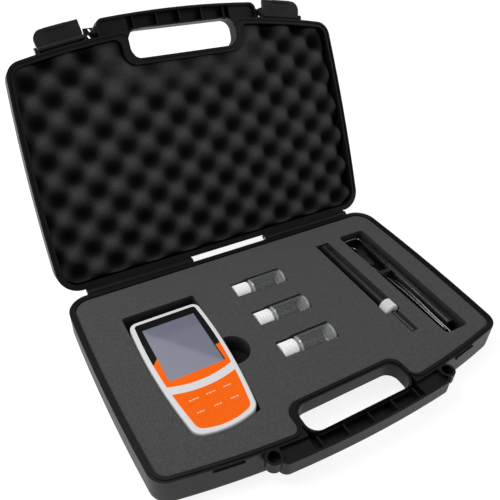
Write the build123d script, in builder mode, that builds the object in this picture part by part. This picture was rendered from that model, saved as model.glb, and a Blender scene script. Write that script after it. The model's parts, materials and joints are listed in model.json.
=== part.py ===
from build123d import *
import os
from math import asin, cos, degrees, radians, sin, sqrt, tan

# Portable water quality measuring kit: a hinged carrying case, shown open, with a handheld
# meter, two probes, three sample vials and a sensor lead in cut foam.
# Millimetres. X runs along the hinge, -Y points to the carrying handle, +Z is up.
# The origin is on the tray's flat base, midway between the hinge side and the front corners.

# ------------------------------------------------------------------ driving dimensions
# Case plan, the same for tray and lid
case_width = 440.0  # across the hinge side
case_depth = 262.0  # hinge side to the front corners
side_taper = 8.9  # how far each side leans in at the front
side_bow = 3.6  # outward bulge of each side
front_bow = 23.0  # outward bulge of the front
back_corner = 26.0
front_corner = 20.0
least_corner = 4.0  # no inset outline has a tighter corner
half_height = 38.0  # height of the tray, and of the lid
wall = 2.6
base_round = 9.0
rim_width = 6.8  # flat land round the opening
rim_height = 5.0
shut_gap = 0.4  # between the two rims when the case is shut
tongue_width = 1.6
tongue_height = 1.2
tongue_clearance = 0.4
panel_inset = 26.0  # plain sunk panel on the lid's outer face
panel_depth = 0.8

# Carrying handle
grip_height = 17.0  # thickness of the grip in each half
grip_front = 171.7  # outer edge of the bar at its middle
grip_end = 167.4  # outer edge of the bar at its ends
grip_half = 104.0
grip_corner = 9.0
tray_finger_half = 63.0  # half length of the finger hole in the tray
lid_finger_half = 70.0  # and in the lid
finger_back = 119.5
finger_front = 152.5
finger_corner = 13.0
scoop_grow = 14.0  # how far the hollow under the grip reaches past the hole's wall
tray_block_half = 70.0  # half width of the land that holds the hole, in the tray
lid_block_half = 79.0  # and in the lid
block_corner = 14.0
bay_corner = 9.0
channel_depth = 12.0
channel_half = 67.0  # half length of the deep cells in front of the finger hole
shoulder_depth = 4.0  # shallow recess beside them
grip_rib_pitch = 29.5
grip_rib = 1.8
grip_rib_drop = 3.0

# Lid hinge and its opening
lid_angle = 115.94  # how far the lid stands open from shut
hinge_offset = 4.85  # pin axis behind the back wall
hinge_drop = 2.3  # pin axis below the tray's rim
hinge_inner = 54.0  # each hinge runs from here
hinge_outer = 192.0  # to here
knuckle_count = 9
knuckle_gap = 0.4
knuckle_radius = 4.2
pin_radius = 1.5
pin_clearance = 0.05
cover_inner = 4.6  # strip over the knuckles, about the pin axis
cover_outer = 5.8
cover_start = 96.0
cover_end = 148.0

# Latches and locating posts
latch_centre = 145.0
latch_length = 54.0
latch_reach = 20.0
latch_inner = 2.1  # pin axis to the latch's inner face
latch_outer = 2.9  # pin axis to its outer face
latch_pin_height = 10.0  # above the lid's rim, when shut
latch_stand = 4.2  # pin axis in front of the wall
latch_barrel = 3.4
lug_width = 3.0
lug_gap = 0.4
hook_depth = 1.7
hook_height = 3.0
catch_depth = 1.7
catch_height = 3.5
catch_gap = 0.5
catch_length = 30.0
post_x = 106.4
post_y = 155.0
boss_radius = 8.6
boss_height = 12.6
boss_link = 11.0
socket_radius = 6.0
post_radius = 3.6
post_length = 8.0
bracket_inner = 105.5
bracket_thickness = 3.0
bracket_depth = 17.5
bracket_back = 143.0  # where the bracket starts behind the post
latch_round = 11.0
ridge_count = 7
ridge_pitch = 4.6
ridge_width = 1.2
ridge_height = 0.6
ridge_shift = 4.0

# Foam
foam_drop = 1.8  # foam below the tray's rim
foam_clearance = 0.3
foam_chamfer = 3.2
lid_foam_drop = 6.0  # lid foam below the lid's rim
fit_gap = 0.6  # free room round what lies in the foam

# Handheld meter
meter_x = -126.0
meter_y = -25.2
meter_length = 168.5
meter_width = 86.4
meter_foot_width = 66.4
meter_head_width = 83.0
meter_widest = 30.0  # above the middle, where the sides bulge most
meter_foot_bow = 6.5
meter_thickness = 30.0
meter_proud = 1.6  # face above the tray's rim
meter_wall = 2.2
meter_top_corner = 9.0
meter_foot_corner = 14.0
pocket_half = 44.3  # half width of the meter's pocket
pocket_bend = 10.0  # above the middle, where the pocket starts to narrow
pocket_foot_half = 35.6
pocket_foot = -79.5
pocket_head = 100.7  # leaves room for the sockets
pocket_corner = 3.0
pocket_bend_round = 40.0
face_margin = 5.0  # pale border round the inlays of the face
band_top = -22.0  # pale band between the window and the keypad, at its middle
band_width = 9.6
band_radius = 103.0
screen_half = 31.0
screen_top = 68.8
screen_foot = -10.2
inlay = 1.4
trim_left = 16.0
trim_notch = 8.0
trim_right = 14.0
trim_line = 1.2  # black line beside the screen
key_width = 14.0
key_depth = 9.5
key_corner = 3.0
key_pitch_x = 18.3
key_pitch_y = 16.0
key_row = -41.0
key_gap = 0.1
key_proud = 0.1
key_travel = 0.8
key_flange = 0.8
thumb_x = -80.3
thumb_y = -24.0
thumb_radius = 20.5
thumb_depth = 22.0
face_round = 1.8
back_round = 5.0
gasket_inset = 0.7
gasket_width = 0.8
gasket_height = 1.0
screw_x_head = 34.0
screw_y_head = 76.0
screw_x_foot = 23.0
screw_y_foot = -69.0
screw_post_radius = 3.0
screw_radius = 1.25
screw_head_radius = 2.4
screw_head_gap = 0.15
screw_head_height = 1.8
screw_bite = 8.0
door_width = 52.0
door_length = 60.0
door_y = -28.0
door_corner = 4.0
door_gap = 0.2
cell_radius = 7.0
cell_length = 48.0
cell_gap = 0.3
cell_nub_radius = 2.7
cell_nub_length = 1.2
board_width = 61.0
board_head = 69.0
board_foot = -63.5
board_corner = 3.0
board_thickness = 1.6
board_chips = ((0, 48), (-18, 30), (20, 34), (-12, 12), (14, 14))
chip_width = 9.0
chip_length = 9.0
chip_height = 1.4
display_margin = 1.2
display_gap = 0.2
mat_width = 54.0
mat_depth = 28.0
mat_thickness = 1.2
dome_radius = 4.0
dome_gap = 0.1
key_stem_depth = 4.0
key_edge = 0.08
key_rest_gap = 0.1
window_sink = 0.2
socket_x = 16.0
socket_body_radius = 6.0
socket_flange_radius = 7.5
socket_flange = 1.6
socket_length = 7.0
socket_wall = 0.9
socket_pin_radius = 2.2

# Sample vials
vial_left = -33.0
vial_rows = (59.2, 5.1, -48.3)
vial_axis_drop = 9.2
vial_length = 68.4
vial_radius = 12.6
vial_wall = 1.4
vial_neck_radius = 8.6
vial_cap_radius = 11.3
vial_cap_length = 18.3
vial_cap_wall = 1.6
vial_cap_clearance = 0.35
vial_bore = 7.0
vial_foot = 2.0
foot_round = 2.5
neck_show = 0.8
shoulder_length = 4.0
liner_thickness = 1.0
cap_rib = 0.5
cap_rib_count = 48
cap_lead = 1.0

# Probe in the narrow slot
probe_x = 118.2
probe_drop = 5.0
probe_top = 82.0
probe_seam = 19.5
probe_collar_top = -42.0
probe_collar_foot = -57.0
probe_foot = -94.0
probe_radius = 7.7
probe_wall = 1.7
collar_radius = 8.6
stem_radius = 2.6
probe_slot_x = 116.9
probe_slot_back = 88.0
probe_slot_width = 20.6
collar_slot_width = 21.8
stem_slot_width = 10.0
probe_edge = 1.0
probe_head_wall = 4.0
probe_socket_radius = 3.0
seam_width = 1.0
spigot_length = 8.0
spigot_radius = 5.6
collar_bite = 6.0
collar_gap = 0.3
collar_rib = 0.45
collar_rib_count = 36
cartridge_radius = 4.0
cartridge_length = 60.0

# Electrode and its lead in the wide slot
slot_left = 147.2
slot_right_back = 188.0
slot_right_front = 180.5
slot_back = 90.5
slot_front = -115.0
electrode_x = 174.4
electrode_y = -17.6
electrode_drop = 11.0
electrode_turn = 2.6
electrode_length = 165.0
electrode_radius = 5.9
electrode_cap_length = 45.0
electrode_boot_length = 52.0
slot_floor = 13.0
slot_corner = 5.0
tube_radius = 4.9
tube_wall = 0.9
cap_bore = 12.0
bulb_room = 12.0
inner_glass_radius = 2.0
bulb_radius = 3.4
boot_floor = 3.0
lead_radius = 1.6
relief_length = 10.0
relief_radius = 4.2
hank_gap = 1.0
hank_corner = 6.0
relief_gap = 0.3
plug_gap = 0.2
plug_nut_length = 12.0
plug_rib = 0.5
plug_rib_count = 24
plug_pin_radius = 2.0
tie_y = 2.0
tie_width = 6.0
tie_thickness = 0.8
plug_x = 156.0
plug_z = 27.0
plug_nut_radius = 7.2
hank_left = 148.6
hank_clearance = 1.8  # between the lead and the electrode
hank_fold_front = -101.5
hank_fold_right = 174.5
hank_low = 14.0
hank_high = 34.0
plug_y = 40.0
plug_radius = 6.4
plug_length = 30.0

# ------------------------------------------------------------------ shared places
front_radius = ((case_width / 2 - side_taper) ** 2 + front_bow**2) / (2 * front_bow)
side_chord = sqrt(case_depth**2 + side_taper**2)
side_radius = ((side_chord / 2) ** 2 + side_bow**2) / (2 * side_bow)
side_centre_x = (case_width - side_taper) / 2 - (side_radius - side_bow) * case_depth / side_chord
side_centre_y = (side_radius - side_bow) * side_taper / side_chord
hinge_y = case_depth / 2 + hinge_offset
hinge_z = half_height - hinge_drop
foam_top = half_height - foam_drop
tray_rim = Plane(origin=(0, 0, half_height), x_dir=(-1, 0, 0), z_dir=(0, 0, -1))
open_turn = radians(lid_angle)
lid_frame = Plane(origin=(0, hinge_y, hinge_z), x_dir=(1, 0, 0), z_dir=(0, sin(open_turn), cos(open_turn)))
lid_rise = hinge_drop + shut_gap


def in_lid(x, y, z, turn=0.0):
    """A plane on the lid, given by its place and turn when the case is shut (z from the lid's rim)."""
    return Plane(lid_frame.location * Location((x, y - hinge_y, z + lid_rise), (0, 0, turn)))


def front_wall(x):
    """Y of the case's outer front face at x."""
    return -case_depth / 2 - front_bow + front_radius - sqrt(front_radius**2 - x**2)


def latch_seat(side):
    """The latch's own frame: X along its pin, -Y outward, when the case is shut."""
    slope = degrees(asin(latch_centre / front_radius)) * side
    return in_lid(side * latch_centre, front_wall(latch_centre) - latch_stand, latch_pin_height, slope)


def across_seat(seat, start):
    """A plane across the latch pin at a distance along it, X to the wall and Y up."""
    return Plane(origin=seat.from_local_coords((start, 0, 0)), x_dir=seat.y_dir, z_dir=seat.x_dir)


lid_rim = in_lid(0, 0, 0)
os.makedirs("parts", exist_ok=True)


def save(piece, name):
    piece.part.label = name
    export_step(piece.part, f"parts/{name}.step")


# ------------------------------------------------------------------ plan shapes of the case
def case_outline(inset=0.0):
    """The case's plan, moved in evenly from its outer edge: three great circles and the straight back."""
    back = case_depth / 2 - inset
    with BuildSketch() as plan:
        with Locations((0, front_radius - case_depth / 2 - front_bow)):
            Circle(front_radius - inset)
        for side in (-1, 1):
            with Locations((side * side_centre_x, side_centre_y)):
                Circle(side_radius - inset, mode=Mode.INTERSECT)
        with Locations((0, back - case_width)):
            Rectangle(2 * case_width, 2 * case_width, mode=Mode.INTERSECT)
        fillet(plan.vertices().group_by(Axis.Y)[-1], radius=max(back_corner - inset, least_corner))
        fillet(plan.vertices().group_by(Axis.Y)[0], radius=max(front_corner - inset, least_corner))
    return plan.sketch


def block_outline(half, grow=0.0):
    """The land round the finger hole, open to the front; grow moves its edge into the case."""
    top = finger_back - rim_width - grow
    reach = 100.0
    with BuildSketch() as land:
        with Locations((0, -top - reach / 2)):
            Rectangle(2 * (half + grow), reach)
        fillet(land.vertices().group_by(Axis.Y)[-1], radius=block_corner)
    return land.sketch


def cavity_outline(half, inset, grow=0.0):
    """The inside of one half at a given inset from the outer edge, clear of the handle land."""
    with BuildSketch() as inside:
        add(case_outline(inset))
        add(block_outline(half, grow), mode=Mode.SUBTRACT)
        bays = [v for v in inside.vertices() if abs(abs(v.X) - half - grow) < 0.01 and v.Y < -case_depth / 2]
        fillet(bays, radius=bay_corner - grow)
    return inside.sketch


def grip_outline(inset=0.0):
    """The handle's plan, from inside the case's front wall to the bar's outer edge."""
    half = grip_half - inset
    with BuildSketch() as grip:
        with BuildLine():
            Line((-half, -case_depth / 2), (-half, inset - grip_end))
            ThreePointArc((-half, inset - grip_end), (0, inset - grip_front), (half, inset - grip_end))
            Line((half, inset - grip_end), (half, -case_depth / 2))
            Line((half, -case_depth / 2), (-half, -case_depth / 2))
        make_face()
        fillet(grip.vertices().filter_by_position(Axis.Y, inset - grip_end - 1, inset - grip_end + 1),
               radius=grip_corner - inset)
    return grip.sketch


def finger_outline(half, grow=0.0):
    with BuildSketch() as hole:
        with Locations((0, -(finger_back + finger_front) / 2)):
            RectangleRounded(2 * (half + grow), finger_front - finger_back + 2 * grow,
                             finger_corner + grow)
    return hole.sketch


# ------------------------------------------------------------------ case shells
def inner_space(rim, half):
    """What is hollow behind the rim: wide below it, and raised over the scoop under the grip."""
    with BuildPart() as space:
        with BuildSketch(rim.offset(rim_height)):
            add(cavity_outline(half, wall, wall - rim_width))
        extrude(amount=half_height - wall - rim_height)
        fillet(space.faces().sort_by(Axis(rim.origin, rim.z_dir))[-1].edges(), radius=base_round - wall)
        with BuildSketch(rim.offset(grip_height - wall)):
            add(block_outline(half, scoop_grow + wall))
        extrude(amount=half_height, mode=Mode.SUBTRACT)
        with BuildSketch(rim):
            add(cavity_outline(half, rim_width))
        extrude(amount=rim_height)
    return space.part


def case_half(rim, half, finger_half):
    """One half shell. The rim plane's normal points out of the case."""
    space = inner_space(rim, half)
    with BuildPart() as shell:
        with BuildSketch(rim):
            add(case_outline())
        extrude(amount=half_height)
        fillet(shell.faces().sort_by(Axis(rim.origin, rim.z_dir))[-1].edges(), radius=base_round)
        with BuildSketch(rim.offset(grip_height)):
            add(block_outline(half, scoop_grow))
        extrude(amount=half_height, mode=Mode.SUBTRACT)
        with BuildSketch(rim):
            add(grip_outline())
        extrude(amount=grip_height)
        add(space, mode=Mode.SUBTRACT)
        with BuildSketch(rim):
            add(grip_outline(wall))
            add(case_outline(), mode=Mode.SUBTRACT)
        extrude(amount=shoulder_depth, mode=Mode.SUBTRACT)
        with BuildSketch(rim):
            with Locations((0, -(finger_front + grip_front) / 2)):
                Rectangle(2 * channel_half, grip_front - finger_front + 2 * finger_corner)
            add(grip_outline(wall), mode=Mode.INTERSECT)
            add(finger_outline(finger_half, wall), mode=Mode.SUBTRACT)
        extrude(amount=channel_depth, mode=Mode.SUBTRACT)
        with BuildSketch(rim.offset(grip_rib_drop)):
            with Locations((0, -(finger_front + grip_front) / 2)):
                with GridLocations(grip_rib_pitch, 1, 5, 1):
                    Rectangle(grip_rib, grip_front - finger_front - wall)
        extrude(amount=channel_depth - grip_rib_drop + 0.5)
        with BuildSketch(rim):
            add(finger_outline(finger_half))
        extrude(amount=half_height, mode=Mode.SUBTRACT)
    return shell.part


def tongue_outline(grow=0.0):
    """The sealing rib along the middle of the rim and round the finger hole, left out along the hinge."""
    outer = (rim_width - tongue_width) / 2 - grow
    inner = (rim_width + tongue_width) / 2 + grow
    with BuildSketch() as rib:
        add(cavity_outline(tray_block_half, outer, outer - rim_width))
        add(cavity_outline(tray_block_half, inner, inner - rim_width), mode=Mode.SUBTRACT)
        with Locations((0, case_depth / 2)):
            Rectangle(2 * case_width, 2 * back_corner - 4 * grow - 2, mode=Mode.SUBTRACT)
    return rib.sketch


def knuckle_spans(first):
    """Start and end of every second hinge knuckle on both sides, from knuckle number first."""
    pitch = (hinge_outer - hinge_inner) / knuckle_count
    for index in range(first, knuckle_count, 2):
        low = hinge_inner + index * pitch + knuckle_gap / 2
        high = low + pitch - knuckle_gap
        yield low, high
        yield -high, -low


def cover_outline():
    """A ring segment about the pin axis, X away from the case and Y to the lid when it is shut."""
    reach = 2 * cover_outer
    first, last = radians(cover_start), radians(cover_end)
    with BuildSketch() as cover:
        Circle(cover_outer)
        Circle(cover_inner, mode=Mode.SUBTRACT)
        with BuildLine():
            Polyline((0, 0), (reach * cos(first), reach * sin(first)), (reach * cos(last), reach * sin(last)),
                     close=True)
        make_face(mode=Mode.INTERSECT)
    return cover.sketch


web_reach = hinge_offset + wall / 2
web_height = 4.0

with BuildPart() as case_tray:
    add(case_half(tray_rim, tray_block_half, tray_finger_half))
    with BuildSketch(tray_rim):
        add(tongue_outline())
    extrude(amount=-tongue_height)
    # Round sockets at the ends of the grip, which take the lid's locating posts.
    for side in (-1, 1):
        with BuildSketch(Plane.XY.offset(half_height)):
            with Locations((side * post_x, -post_y)):
                Circle(boss_radius)
            with Locations((side * (post_x - boss_radius / 2), -post_y + boss_link / 2)):
                Rectangle(boss_radius, boss_link)
        extrude(amount=-boss_height)
        with Locations((side * post_x, -post_y, half_height)):
            Hole(socket_radius, depth=boss_height - wall)
    # Catches for the latches on the front wall.
    for side in (-1, 1):
        slope = degrees(asin(latch_centre / front_radius)) * side
        hook_top = half_height + shut_gap + latch_pin_height - latch_reach + hook_height
        catch_top = hook_top + catch_gap + catch_height
        with BuildSketch(Plane(origin=(side * latch_centre, front_wall(latch_centre), catch_top),
                               x_dir=(cos(radians(slope)), sin(radians(slope)), 0), z_dir=(0, 0, 1))):
            Rectangle(catch_length, 2 * catch_depth)
        extrude(amount=-catch_height)
    # Hinge knuckles and the webs that carry them.
    for low, high in knuckle_spans(0):
        with BuildSketch(Plane.YZ.offset(low)):
            with Locations((hinge_y, hinge_z)):
                Circle(knuckle_radius)
            with Locations((hinge_y - web_reach / 2, hinge_z - knuckle_radius + web_height / 2 - 1)):
                Rectangle(web_reach, web_height)
        extrude(amount=high - low)
        with BuildSketch(Plane.YZ.offset(low)):
            with Locations((hinge_y, hinge_z)):
                Circle(pin_radius)
        extrude(amount=high - low, mode=Mode.SUBTRACT)
save(case_tray, "case_tray")

with BuildPart() as case_lid:
    add(case_half(lid_rim, lid_block_half, lid_finger_half))
    with BuildSketch(lid_rim):
        add(tongue_outline(tongue_clearance))
    extrude(amount=tongue_height + tongue_clearance, mode=Mode.SUBTRACT)
    with BuildSketch(lid_rim.offset(half_height - panel_depth)):
        add(case_outline(panel_inset))
        add(block_outline(lid_block_half, panel_inset), mode=Mode.SUBTRACT)
    extrude(amount=2 * panel_depth, mode=Mode.SUBTRACT)
    # Brackets at the ends of the grip with the locating posts that enter the tray's sockets.
    for side in (-1, 1):
        lug_x = latch_centre - latch_length / 2 - lug_gap
        lug_place = side * (bracket_inner + lug_x) / 2
        with BuildSketch(in_lid(0, 0, latch_pin_height - bracket_thickness / 2)):
            with Locations((lug_place, -bracket_back - bracket_depth / 2)):
                Rectangle(lug_x - bracket_inner, bracket_depth)
            with Locations((side * bracket_inner, -bracket_back - bracket_depth / 2)):
                Rectangle(2 * bracket_thickness, bracket_depth - bracket_thickness)
            for across, along in ((0.6, -3), (2.8, 4), (-2.2, 9)):
                with Locations((side * (post_x + across + 3.5), -post_y + along)):
                    SlotOverall(4.4, 2.6, rotation=60, mode=Mode.SUBTRACT)
        extrude(amount=bracket_thickness)
        with BuildSketch(in_lid(side * post_x, -post_y, -post_length)):
            Circle(post_radius)
        extrude(amount=post_length + latch_pin_height)
    # Lugs for the latch pins.
    for side in (-1, 1):
        for start in (-latch_length / 2 - lug_gap - lug_width, latch_length / 2 + lug_gap):
            across = across_seat(latch_seat(side), start)
            with BuildSketch(across):
                Circle(latch_barrel)
                with Locations((latch_stand / 2 + wall / 2, 0)):
                    Rectangle(latch_stand + wall, 2 * latch_barrel)
            extrude(amount=lug_width)
            with BuildSketch(across):
                Circle(pin_radius)
            extrude(amount=lug_width, mode=Mode.SUBTRACT)
    # Hinge knuckles.
    for low, high in knuckle_spans(1):
        knuckle = Plane(origin=(low, hinge_y, hinge_z), x_dir=lid_frame.y_dir, z_dir=(1, 0, 0))
        with BuildSketch(knuckle):
            Circle(knuckle_radius)
            with Locations((-web_reach / 2, lid_rise + web_height / 2 + 0.05)):
                Rectangle(web_reach, web_height)
            with Locations((-knuckle_radius / 4, lid_rise + 0.55)):
                Rectangle(knuckle_radius / 2, 1.0)
        extrude(amount=high - low)
        with BuildSketch(knuckle):
            Circle(pin_radius + pin_clearance)
        extrude(amount=high - low, mode=Mode.SUBTRACT)
    # A curved strip over each hinge closes the gap behind the open lid.
    for start in (-hinge_outer, hinge_inner):
        with BuildSketch(Plane(origin=(start, hinge_y, hinge_z), x_dir=lid_frame.y_dir, z_dir=(1, 0, 0))):
            add(cover_outline())
            with Locations((-hinge_offset - 0.1, lid_rise + 1.0)):
                Rectangle(2.3, 1.4)
        extrude(amount=hinge_outer - hinge_inner)
save(case_lid, "case_lid")

# ------------------------------------------------------------------ hinge pins and latches
for side, name in ((-1, "hinge_pin_left"), (1, "hinge_pin_right")):
    with BuildPart() as hinge_pin:
        with BuildSketch(Plane.YZ.offset(side * (hinge_inner + hinge_outer) / 2)):
            with Locations((hinge_y, hinge_z)):
                Circle(pin_radius)
        extrude(amount=(hinge_outer - hinge_inner) / 2 - knuckle_gap, both=True)
    save(hinge_pin, name)


for side, name in ((-1, "left"), (1, "right")):
    seat = latch_seat(side)
    half = latch_length / 2
    with BuildPart() as latch:
        # The plate stands straight out from the lid while the latch is open.
        with BuildSketch(seat.offset(-latch_inner)) as plate:
            with Locations((0, -(latch_reach + latch_barrel + 1.2) / 2)):
                Rectangle(latch_length, latch_reach - latch_barrel - 1.2)
            with Locations((0, -latch_barrel)):
                Rectangle(latch_length - 2 * lug_gap, 2 * latch_barrel)
            outer = plate.vertices().group_by(Axis.Y)[0].sort_by(Axis.X)
            fillet(outer[-1] if side > 0 else outer[0], radius=latch_round)
        extrude(amount=latch_inner + latch_outer)
        with BuildSketch(across_seat(seat, -half + lug_gap)):
            Circle(latch_barrel)
        extrude(amount=latch_length - 2 * lug_gap)
        # Hook along the free edge.
        with BuildSketch(seat.offset(-latch_inner)):
            with Locations((0, hook_height / 2 - latch_reach)):
                Rectangle(catch_length - 4, hook_height)
        extrude(amount=-hook_depth)
        # Ridges on both faces, for stiffness inside and for the thumb outside.
        with BuildSketch(seat.offset(-latch_inner)):
            with Locations((-side * ridge_shift, -latch_reach / 2 + 1)):
                with GridLocations(ridge_pitch, 1, ridge_count, 1):
                    Rectangle(ridge_width, latch_reach - 13)
        extrude(amount=-ridge_height)
        with BuildSketch(seat.offset(latch_outer)):
            with Locations((-side * ridge_shift, -latch_reach / 2 - 2)):
                with GridLocations(ridge_pitch, 1, ridge_count, 1):
                    Rectangle(ridge_width, latch_reach - 10)
        extrude(amount=ridge_height)
        with BuildSketch(across_seat(seat, -latch_length)):
            Circle(pin_radius + pin_clearance)
        extrude(amount=2 * latch_length, mode=Mode.SUBTRACT)
    save(latch, f"latch_{name}")
    with BuildPart() as latch_pin:
        with BuildSketch(across_seat(seat, -half - lug_gap - lug_width)):
            Circle(pin_radius)
        extrude(amount=latch_length + 2 * lug_gap + 2 * lug_width)
    save(latch_pin, f"latch_pin_{name}")

# ------------------------------------------------------------------ foam
meter_base = half_height + meter_proud - meter_thickness
meter_head = meter_y + meter_length / 2
vial_z = half_height - vial_axis_drop
probe_z = half_height - probe_drop
electrode_z = half_height - electrode_drop


def meter_outline(inset=0.0):
    """The meter's plan about its own middle: bowed sides that narrow to a bowed foot."""
    head = meter_head_width / 2 - inset
    foot = meter_foot_width / 2 - inset
    top = meter_length / 2 - inset
    bottom = inset - meter_length / 2
    with BuildSketch() as plan:
        with BuildLine():
            Line((-head, top), (head, top))
            ThreePointArc((head, top), (meter_width / 2 - inset, meter_widest), (foot, bottom + meter_foot_bow))
            ThreePointArc((foot, bottom + meter_foot_bow), (0, bottom), (-foot, bottom + meter_foot_bow))
            ThreePointArc((-foot, bottom + meter_foot_bow), (inset - meter_width / 2, meter_widest),
                          (-head, top))
        make_face()
        fillet(plan.vertices().group_by(Axis.Y)[-1], radius=max(meter_top_corner - inset, least_corner))
        fillet(plan.vertices().group_by(Axis.Y)[0], radius=max(meter_foot_corner - inset, least_corner))
    return plan.sketch


def pocket_outline():
    """The meter's pocket: close round the meter, with room at the head and at its right foot corner."""
    with BuildSketch() as pocket:
        with BuildLine():
            Polyline((-pocket_half, pocket_head), (pocket_half, pocket_head), (pocket_half, pocket_bend),
                     (pocket_foot_half, pocket_foot), (pocket_foot_half / 2, pocket_foot - 3),
                     (-pocket_half, pocket_bend), close=True)
        make_face()
        fillet(pocket.vertices().filter_by_position(Axis.X, pocket_half - 1, pocket_half + 1).sort_by(Axis.Y)[0],
               radius=pocket_bend_round)
        fillet(pocket.vertices().group_by(Axis.Y)[-1], radius=pocket_corner)
        fillet(pocket.vertices().filter_by_position(Axis.Y, pocket_foot - 1, pocket_foot + 1), radius=pocket_corner)
        add(meter_outline(-fit_gap))
    return pocket.sketch


with BuildPart() as tray_foam:
    with BuildSketch(Plane.XY.offset(wall)):
        add(cavity_outline(tray_block_half, rim_width + foam_clearance, foam_clearance))
    extrude(amount=foam_top - wall)
    chamfer(tray_foam.faces().sort_by(Axis.Z)[0].edges(), length=foam_chamfer)
    with BuildSketch(Plane.XY.offset(wall)):
        add(block_outline(tray_block_half, scoop_grow + wall + foam_clearance))
    extrude(amount=half_height - grip_height + foam_clearance, mode=Mode.SUBTRACT)
    # Meter pocket, and the thumb hollow beside it.
    with BuildSketch(Plane.XY.offset(meter_base)):
        with Locations((meter_x, meter_y)):
            add(pocket_outline())
    extrude(amount=half_height, mode=Mode.SUBTRACT)
    with BuildSketch(Plane.XY.offset(foam_top - thumb_depth)):
        with Locations((thumb_x, thumb_y)):
            Circle(thumb_radius)
    extrude(amount=thumb_depth, mode=Mode.SUBTRACT)
    # Vial pockets, narrower at the cap.
    for row in vial_rows:
        with BuildSketch(Plane.XY.offset(vial_z - vial_cap_radius - fit_gap)):
            with Locations((vial_left - fit_gap, row)):
                Rectangle(vial_cap_length + 2 * fit_gap, 2 * (vial_cap_radius + fit_gap),
                          align=(Align.MIN, Align.CENTER))
        extrude(amount=half_height, mode=Mode.SUBTRACT)
        with BuildSketch(Plane.XY.offset(vial_z - vial_radius - fit_gap)):
            with Locations((vial_left + vial_cap_length - fit_gap, row)):
                Rectangle(vial_length - vial_cap_length + 2 * fit_gap, 2 * (vial_radius + fit_gap),
                          align=(Align.MIN, Align.CENTER))
        extrude(amount=half_height, mode=Mode.SUBTRACT)
    # Narrow slot: wide along the probe's body, wider at its collar and thin along its stem.
    with BuildSketch(Plane.XY.offset(probe_z - probe_radius - fit_gap)):
        with Locations((probe_slot_x, probe_collar_top)):
            Rectangle(probe_slot_width, probe_slot_back - probe_collar_top, align=(Align.CENTER, Align.MIN))
    extrude(amount=half_height, mode=Mode.SUBTRACT)
    with BuildSketch(Plane.XY.offset(probe_z - collar_radius - fit_gap)):
        with Locations((probe_slot_x, (probe_collar_top + probe_collar_foot) / 2)):
            RectangleRounded(collar_slot_width, probe_collar_top - probe_collar_foot + 4, 3)
    extrude(amount=half_height, mode=Mode.SUBTRACT)
    with BuildSketch(Plane.XY.offset(probe_z - stem_radius - fit_gap)):
        with Locations((probe_x, probe_foot - fit_gap)):
            Rectangle(stem_slot_width, probe_collar_top - probe_foot, align=(Align.CENTER, Align.MIN))
    extrude(amount=half_height, mode=Mode.SUBTRACT)
    # Wide slot for the electrode and the folded lead.
    with BuildSketch(Plane.XY.offset(slot_floor)):
        with BuildLine():
            Polyline((slot_left, slot_front), (slot_right_front, slot_front), (slot_right_back, slot_back),
                     (slot_left, slot_back), close=True)
        wide_slot = make_face()
        fillet(wide_slot.vertices(), radius=slot_corner)
    extrude(amount=half_height, mode=Mode.SUBTRACT)
save(tray_foam, "tray_foam")

with BuildPart() as lid_foam:
    with BuildSketch(lid_rim.offset(lid_foam_drop)):
        add(cavity_outline(lid_block_half, rim_width + foam_clearance, foam_clearance))
    extrude(amount=half_height - wall - lid_foam_drop)
    chamfer(lid_foam.faces().sort_by(Axis(lid_rim.origin, lid_rim.z_dir))[-1].edges(), length=foam_chamfer)
    with BuildSketch(lid_rim.offset(grip_height - wall - foam_clearance)):
        add(block_outline(lid_block_half, scoop_grow + wall + foam_clearance))
    extrude(amount=half_height, mode=Mode.SUBTRACT)
save(lid_foam, "lid_foam")

# ------------------------------------------------------------------ handheld meter
meter_face = meter_base + meter_thickness
meter_split = meter_base + meter_thickness / 2
inside_low = meter_base + meter_wall
inside_high = meter_face - meter_wall
post_places = [(-screw_x_head, screw_y_head), (screw_x_head, screw_y_head),
               (-screw_x_foot, screw_y_foot), (screw_x_foot, screw_y_foot)]


def on_meter(height):
    return Plane(origin=(meter_x, meter_y, height))


def window_outline():
    """The inlay above the pale band."""
    with BuildSketch() as frame:
        add(meter_outline(face_margin))
        with Locations((0, band_top + band_radius)):
            Circle(band_radius, mode=Mode.INTERSECT)
    return frame.sketch


def screen_outline(grow=0.0):
    with BuildSketch() as screen:
        with Locations((0, (screen_top + screen_foot) / 2)):
            Rectangle(2 * (screen_half + grow), screen_top - screen_foot + 2 * grow)
    return screen.sketch


def lower_half_outline():
    """Everything below the change from the black surround to the orange trim."""
    line = screen_half + trim_line
    with BuildSketch() as below:
        with BuildLine():
            Polyline((-meter_width, trim_left), (-meter_width / 2 + face_margin, trim_left),
                     (-screen_half, trim_left + trim_notch), (1 - screen_half, screen_foot + 3),
                     (screen_half - 1, screen_foot + 1), (line, screen_foot + 1), (line, trim_right),
                     (meter_width, trim_right), (meter_width, -meter_length), (-meter_width, -meter_length),
                     close=True)
        make_face()
    return below.sketch


def keypad_outline():
    """The inlay below the pale band."""
    with BuildSketch() as pad:
        add(meter_outline(face_margin))
        with Locations((0, band_top + band_radius)):
            Circle(band_radius + band_width, mode=Mode.SUBTRACT)
    return pad.sketch


def key_holes(grow):
    with BuildSketch() as keys:
        with Locations((0, key_row - key_pitch_y / 2)):
            with GridLocations(key_pitch_x, key_pitch_y, 3, 2):
                RectangleRounded(key_width + 2 * grow, key_depth + 2 * grow, key_corner + grow)
    return keys.sketch


def socket_bores():
    """The two round holes for the sockets, split between the shells at the head."""
    with BuildPart() as bores:
        with BuildSketch(Plane(origin=(meter_x, meter_head + meter_wall, meter_split),
                               x_dir=(-1, 0, 0), z_dir=(0, 1, 0))):
            with Locations((-socket_x, 0), (socket_x, 0)):
                Circle(socket_body_radius)
        extrude(amount=-3 * meter_wall)
    return bores.part


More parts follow.
